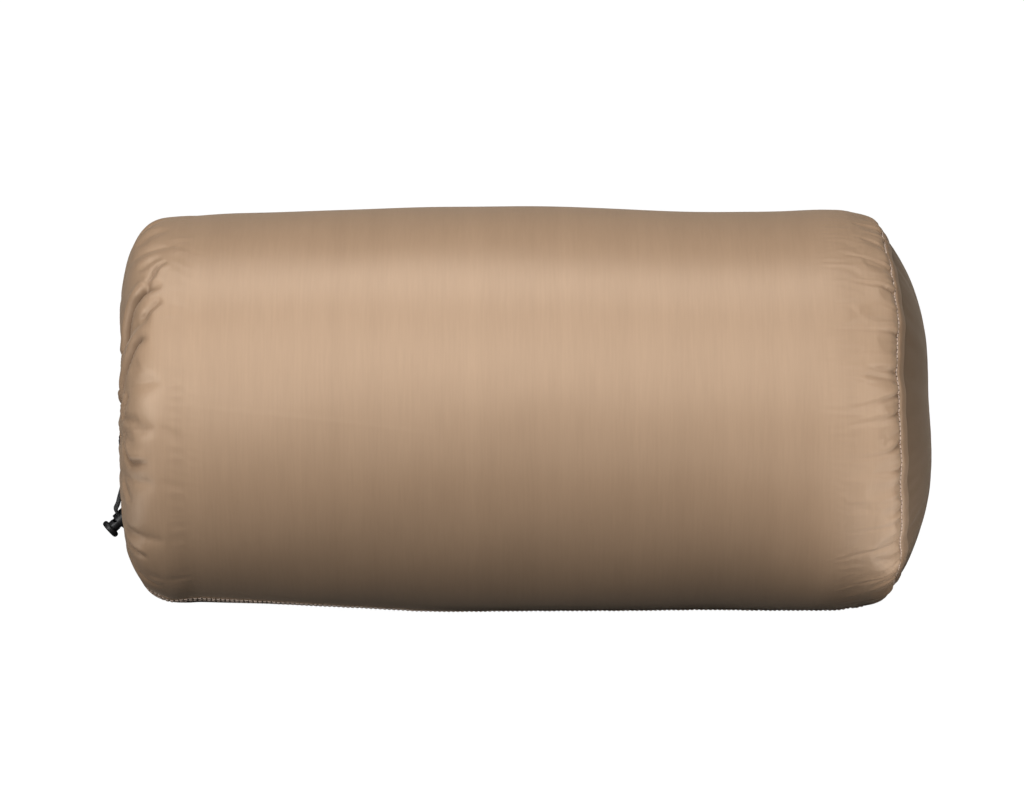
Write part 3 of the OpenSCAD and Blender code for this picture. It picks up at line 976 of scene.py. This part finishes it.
def stitched_row(path, normals, name):
    """A row of separate lockstitches that dip into needle holes, and dark discs of painted shade over the
    holes.
    """
    place, normal = resampled(path, normals, THREAD_PITCH)
    dice = random.Random(len(path))
    stitches, holes = [], []
    radius = THREAD_D / 2 * np.array([0.72, 0.95, 1, 1.04, 1, 0.95, 0.72])
    for a, b, n in zip(place, place[1:], unit(normal[:-1] + normal[1:])):
        across = unit(np.cross(b - a, n))
        start = 0.10 + dice.uniform(-0.02, 0.02)
        stop = 0.90 + dice.uniform(-0.02, 0.02)
        skew = dice.uniform(-0.16, 0.16)
        line = []
        for t in np.linspace(0, 1, 7):
            rise = 0.26 + 0.16 * math.sin(math.pi * t) - 0.34 * abs(2 * t - 1) ** 4
            along = start + (stop - start) * t
            line.append(a + (b - a) * along + n * rise + across * skew * (2 * t - 1))
        stitches.append(tube_along(line, radius, 6))
        # a dark disc of painted shade just above each needle hole
        ring = [b + n * 0.16 + HOLE_R * (math.cos(k) * unit(b - a) * 0.8 + math.sin(k) * across)
                for k in np.arange(8) / 8 * TAU]
        holes.append((np.array(ring), [tuple(range(8))], np.zeros((8, 2))))
    thread_count = sum(len(part[1]) for part in stitches)
    obj = joined(stitches + holes, name)
    obj.data.materials.append(thread_material)
    obj.data.materials.append(needle_hole_shade_material)
    index = np.zeros(len(obj.data.polygons), int)
    index[thread_count:] = 1
    obj.data.polygons.foreach_set("material_index", index)
    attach(obj, "sack")
    return obj


# ---------------------------------------------------------------- drawn-up mouth

def mouth_place(outward, across, height):
    """A place in the plane of the mouth: outward the way the tails leave, across it, and out of the mouth."""
    y = math.cos(TAIL_ANGLE) * outward - math.sin(TAIL_ANGLE) * across
    z = AXIS_Z - math.sin(TAIL_ANGLE) * outward - math.cos(TAIL_ANGLE) * across
    return np.stack(np.broadcast_arrays(-height, y, z), axis=-1)


def casing_mesh():
    """The hem that holds the cord, drawn up into uneven pleats round the mouth."""
    angle = np.arange(864) / 864 * TAU
    v = np.linspace(0, 1, 40)[:, None]
    # the section of the hem, from its root in the sack over its crest and down the hole
    turn = math.pi * (1.08 - 1.16 * v)
    flat = 0.75
    along = -np.sign(np.cos(turn)) * np.abs(np.cos(turn)) ** flat
    rise = np.abs(np.sin(turn)) ** flat * np.sign(np.sin(turn))
    radius = 19.0 + 9.6 * along
    height = 231.6 + 8.4 * rise
    # pleats: sharp valleys between rounded crests, at uneven spacing
    uneven = 0.42 * np.sin(3 * angle + 0.6) + 0.30 * np.sin(5 * angle + 2.0) + 0.22 * np.sin(8 * angle + 4.1)
    phase = 23 * angle + 2.4 * uneven
    crest = np.abs(np.sin(phase / 2)) ** 0.7
    second = np.abs(np.sin(phase + 1.1 + 2.0 * np.sin(2 * angle))) ** 0.8
    size = 1 + 0.35 * np.sin(4 * angle + 1.2) + 0.25 * np.sin(7 * angle + 0.3)
    # a few loose pleats stand out from the rest: angle round the sack, width in degrees, size
    loose = 0.0
    for degrees, wide, much in ((156, 9, 1.7), (176, 8, 1.5), (66, 9, 0.7), (318, 10, 0.7), (262, 9, 0.5)):
        loose = loose + much * bell(wrapped(theta_to_mouth(degrees) - angle) / math.radians(wide))
    buttonhole = bell(wrapped(angle) / math.radians(8.0))
    lift = (crest - 0.6) * 2.9 * size + (second - 0.5) * 1.0
    lift = lift * (1 - 0.9 * buttonhole) - 2.2 * buttonhole
    upper = smooth(rise + 0.25)
    out_share = np.clip((radius - 9.4) / 19.2, 0, 1)
    height = height + lift * upper * (0.45 + 0.55 * out_share) + 1.2 * loose * upper * out_share
    radius = radius + lift * (0.9 * out_share - 0.35) * (0.4 + 0.6 * upper) + 8.5 * loose * out_share * upper
    sway = 0.045 * np.sin(phase * 0.5 + 1.7) * upper + 0.05 * np.sin(6 * angle + 2.0) * (1 - out_share)
    swayed = angle + sway
    points = mouth_place(radius * np.cos(swayed), radius * np.sin(swayed), height)
    obj = make_mesh("cord_casing_pleats", points.reshape(-1, 3), ring_faces(*points.shape[:2]),
                    flat_uv(v * 0.045, angle[None, :] * 0.07))
    # painted shade in the valleys between the pleats
    store_painted_shade(obj, (np.clip(1 - crest * 1.9, 0, 1) * 0.8 + 0 * v).ravel())
    return obj


def theta_to_mouth(degrees):
    """Turns an angle round the sack, in degrees from the top by the front, into the mouth's own angle."""
    theta = math.radians(degrees)
    y, z = -math.sin(theta), math.cos(theta)
    outward = math.cos(TAIL_ANGLE) * y - math.sin(TAIL_ANGLE) * z
    across = -math.sin(TAIL_ANGLE) * y - math.cos(TAIL_ANGLE) * z
    return math.atan2(across, outward)


# ---------------------------------------------------------------- drawcord

def lock_frame():
    """Centre of the cord lock, the way the free tails run through it, and the way its cap points."""
    plunger = np.array([-math.cos(PLUNGER_TILT), 0, -math.sin(PLUNGER_TILT)])
    cord = np.array([math.sin(PLUNGER_TILT) * math.cos(CORD_YAW), math.sin(CORD_YAW),
                     -math.cos(PLUNGER_TILT) * math.cos(CORD_YAW)])
    centre = np.array([casing_low.x / MM - LOCK_OUT, LOCK_BACK, AXIS_Z - LOCK_DOWN])
    return centre, cord, plunger


def drawcord_mesh():
    """The cord inside the casing and its two strands up to the buttonhole."""
    start = math.asin(STRAND / CHANNEL_R)
    t = np.linspace(start, TAU - start, 150)
    ring = mouth_place(CHANNEL_R * np.cos(t), CHANNEL_R * np.sin(t), 237.0)
    first = mouth_place(HINGE_R, STRAND, CORD_HEIGHT)
    last = mouth_place(HINGE_R, -STRAND, CORD_HEIGHT)
    begin = first + (ring[0] - first) * np.linspace(0, 1, 10)[:-1, None]
    end = ring[-1] + (last - ring[-1]) * np.linspace(0, 1, 10)[1:, None]
    return joined([tube_along(np.concatenate([begin, ring, end]), CORD_D / 2, 12)], "drawcord_braid")


def tails_mesh():
    """Both tails from the buttonhole through the lock to an overhand knot with sealed ends."""
    centre, cord, plunger = lock_frame()
    side_at_lock = np.cross(plunger, cord)
    hinge = mouth_place(HINGE_R, 0, CORD_HEIGHT)
    side_at_hinge = -np.array([0, math.sin(TAIL_ANGLE), math.cos(TAIL_ANGLE)])
    bend = centre - cord * (BARREL_D / 2 + CORD_D)
    tip = centre + cord * FREE_TAIL
    gap = bend - hinge
    inward = np.array([3.6, 0, 0])
    into_lock = bend + cord * 1.5 - plunger * 0.2 + side_at_lock * 0.3
    middle = curve_through([hinge, hinge + gap * 0.28 + inward * 0.55, hinge + gap * 0.62 + inward,
                            hinge + gap * 0.88 + inward * 0.5, into_lock, centre + cord * 10,
                            tip - cord * 9, tip - cord * 3], TAIL_STEPS)
    share = smooth(np.linspace(0, 1.6, TAIL_STEPS))[:, None]
    side = unit(side_at_hinge * (1 - share) + side_at_lock * share)
    # the braid is squeezed a little where the lock slides
    radius = CORD_D / 2 - 0.2 * smooth((np.linspace(0, 1, TAIL_STEPS) - 0.36) / 0.08)
    parts = [tube_along(middle + sign * STRAND * side, radius, 12) for sign in (-1, 1)]
    # the overhand knot: a trefoil drawn tight round the two strands
    t = np.linspace(0, TAU, 90, endpoint=False)[:, None]
    a = (np.sin(t) + 2 * np.sin(2 * t)) * 1.02
    b = (np.cos(t) - 2 * np.cos(2 * t)) * 1.02
    c = -np.sin(3 * t) * 1.5
    parts.append(tube_along(tip + a * side_at_lock + b * plunger + c * cord, 1.25, 12, closed=True))
    # the two short ends beyond it, melted to a point
    radius = np.full(14, CORD_D / 2)
    radius[-3:] = (1.22, 1.1, 0.5)
    k = np.linspace(0, 7.5, 14)[:, None]
    for sign in (-1, 1):
        spread = side_at_lock * sign * (0.9 + 0.16 * k) + plunger * 0.05 * k * k * sign
        parts.append(tube_along(tip + cord * k + spread, radius, 12))
    obj = joined(parts, "drawcord_tails_braid")
    obj.data.materials.append(cord_material)
    return obj, hinge, gap / np.linalg.norm(gap)


# ---------------------------------------------------------------- rolled pillow inside

def rolled_pillow(name, half_thickness, half_length):
    """A soft pad rolled up into a spiral, thick in the middle and pinched at its edges."""
    along = np.linspace(0, 1, 150)
    across = np.sin(np.linspace(-math.pi / 2, math.pi / 2, 46))
    turn = 0.9 + along * 10.2
    radius = 48.0 * turn / TAU + 1.5
    dice = random.Random(3)
    bumps = 0
    for _ in range(6):
        bumps = bumps + np.sin(dice.uniform(3, 9) * across[None, :] + dice.uniform(4, 22) * along[:, None]
                               + dice.uniform(0, 6)) / 6
    edge = (1 - np.abs(across[None, :]) ** 7) ** 0.6 * (1 - np.abs(2 * along[:, None] - 1) ** 16) ** 0.6
    thick = half_thickness * edge * (1 + 0.05 * bumps)
    cosine, sine = np.cos(turn)[:, None], np.sin(turn)[:, None]
    x = 2.0 + half_length * across[None, :] * (1 + 0.012 * np.cos(7 * turn)[:, None])
    shells = []
    for sign in (1, -1):
        r = radius[:, None] + sign * thick
        shells.append(np.stack(np.broadcast_arrays(x, r * sine, AXIS_Z - 1.0 + r * cosine), axis=-1))
    count, columns = x.size, x.shape[1]
    outer = [(i + j, i + j + 1, i + j + 1 + columns, i + j + columns)
             for i in range(0, count - columns, columns) for j in range(columns - 1)]
    inner = [tuple(k + count for k in face[::-1]) for face in outer]
    obj = make_mesh(name, np.concatenate(shells).reshape(-1, 3), outer + inner)
    weld = obj.modifiers.new("weld", "WELD")
    weld.merge_threshold = 0.00005
    return obj


# ---------------------------------------------------------------- sack pieces

def on_sack(obj, node, finish):
    """Gives a piece of the sack its finish and slot, and lets it stand for a node of the frame."""
    obj.data.materials.append(finish)
    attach(obj, "sack")
    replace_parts(obj, node)


on_sack(side_panel, "side_panel", fabric)
on_sack(end_panel, "end_panel", crosswise_shaded_fabric)
on_sack(casing_mesh(), "cord_casing", fabric)
on_sack(drawcord_mesh(), "drawcord_loop", cord_material)
on_sack(rolled_pillow("pillow_cover_cloth", 22.6, 218.0), "pillow_cover", cover_cloth)
on_sack(rolled_pillow("pillow_fill_fibre", 21.6, 216.0), "pillow_fill", fibre_fill)

normals = grid_normals(points)


def row_of_stitches(row, name):
    """Stitches all the way round one row of the side panel's points."""
    path = np.concatenate([points[row], points[row][:1]])
    return stitched_row(path, np.concatenate([normals[row], normals[row][:1]]), name)


base_row = len(length) - 1 - 2 * LIP_ROWS
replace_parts(row_of_stitches(base_row, "base_topstitch"), "end_seam_thread")
casing_row = int(np.argmin(np.abs(r[:60].mean(axis=1) - 31.3)))
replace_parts(row_of_stitches(casing_row, "casing_stitches"), "casing_thread")

seam_rows = np.nonzero((x[:, 0] > MOUTH_X + 16) & (x[:, 0] < STITCH_X - 4))[0]


def seam_stitches(offset, name):
    """Stitches along the side seam, at an offset from its middle."""
    column = int(np.argmin(np.abs((phi - math.pi) * 120.0 - offset)))
    return stitched_row(points[seam_rows, column], normals[seam_rows, column], name)


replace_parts(seam_stitches(-SEAM_ROW, "side_seam_front_stitches"), "side_seam_thread")
seam_stitches(SEAM_ROW, "side_seam_back_stitches")

tails, hinge_place, tail_way = tails_mesh()
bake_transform(tails)
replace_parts(tails, "cord_tails")

for node, finish in (("lock_barrel", plastic), ("lock_plunger", plastic), ("lock_spring", steel)):
    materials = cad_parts[node].data.materials
    materials.clear()
    materials.append(finish)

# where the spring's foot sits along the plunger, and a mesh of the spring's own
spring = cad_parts["lock_spring"]
lock_centre, _, plunger_way = lock_frame()
spring_at = [float(np.dot(plunger_way, spring.matrix_world @ vertex.co)) for vertex in spring.data.vertices]
spring_foot = lock_centre * MM
spring_foot += plunger_way * (min(spring_at) - np.dot(plunger_way, spring_foot))
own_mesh(spring)


# ---------------------------------------------------------------- stage, light and camera

def area_light(name, place, target, width, height, power):
    data = bpy.data.lights.new(name, "AREA")
    data.shape = "RECTANGLE"
    data.size = width
    data.size_y = height
    data.energy = power
    obj = bpy.data.objects.new(name, data)
    obj.location = place
    obj.rotation_mode = "QUATERNION"
    obj.rotation_quaternion = (Vector(target) - Vector(place)).to_track_quat("-Z", "Y")
    bpy.context.scene.collection.objects.link(obj)
    return obj


def backdrop():
    """A pale floor that sweeps up behind the object."""
    depth = [(-3000, -0.4)]
    for a in np.linspace(0, math.pi / 2, 13):
        depth.append((1200 + 700 * math.sin(a), -0.4 + 700 * (1 - math.cos(a))))
    depth.append((1900, 3200))
    points = [(side, y, z) for side in (-4000, 4000) for y, z in depth]
    count = len(depth)
    faces = [(i, i + 1, count + i + 1, count + i) for i in range(count - 1)]
    obj = make_mesh("floor", points, faces)
    n = Nodes("pale_floor", Base_Color=grey(0.07), Roughness=0.9, Specular_IOR_Level=0.1,
              Emission_Color=grey(1))
    n.fill(n.shader, Emission_Strength=n.add("ShaderNodeLightPath").outputs["Is Camera Ray"])
    obj.data.materials.append(n.material)


backdrop()

# the air looks white to the camera and hardly lights the sack
world = bpy.data.worlds.new("studio")
world.use_nodes = True
air = world.node_tree
air.nodes["Background"].inputs[0].default_value = grey(1)
seen = air.nodes.new("ShaderNodeLightPath")
strength = air.nodes.new("ShaderNodeMapRange")
strength.inputs["To Min"].default_value = 0.03
strength.inputs["To Max"].default_value = 1.0
air.links.new(seen.outputs["Is Camera Ray"], strength.inputs["Value"])
air.links.new(strength.outputs["Result"], air.nodes["Background"].inputs[1])
bpy.context.scene.world = world

# a row of soft boxes over and in front of the sack, by angle from straight up
for name, degrees, distance, power in (("over", 14, 1.3, 6.4), ("high", 33, 1.3, 1.9), ("key", 52, 1.3, 4.7),
                                       ("low", 70, 1.4, 4.7)):
    angle = math.radians(degrees)
    place = (-0.1, -distance * math.sin(angle), 0.12 + distance * math.cos(angle))
    area_light(name, place, (0, 0, 0.12), 1.1, 0.4, power)
area_light("right", (1.1, -1.4, 0.22), (0.15, 0, 0.1), 0.4, 0.4, 7.0)
area_light("left", (-1.1, -1.4, 0.22), (0, 0, 0.1), 0.4, 0.4, 11)
# white cards that lie on the floor in front of the sack and at its corners
for name, place, width, height, power in (("front_card", (0, -0.40, 0.003), 1.0, 0.3, 0.5),
                                          ("mouth_card", (-0.34, -0.14, 0.003), 0.1, 0.2, 0.10),
                                          ("corner_card", (0.315, -0.19, 0.003), 0.2, 0.26, 0.29)):
    card = area_light(name, place, (place[0], place[1], 1), width, height, power)
    card.visible_camera = False

camera_data = bpy.data.cameras.new("camera")
camera = bpy.data.objects.new("camera", camera_data)
camera.location = (-0.0072, -CAMERA_AWAY, 0.1293)
camera.rotation_euler = (math.radians(90), 0, 0)
camera_data.sensor_width = SENSOR_MM
camera_data.lens = SENSOR_MM * CAMERA_AWAY / SEEN_WIDTH
camera_data.clip_end = 50
bpy.context.scene.collection.objects.link(camera)
bpy.context.scene.camera = camera
bpy.context.scene.view_settings.view_transform = "Standard"
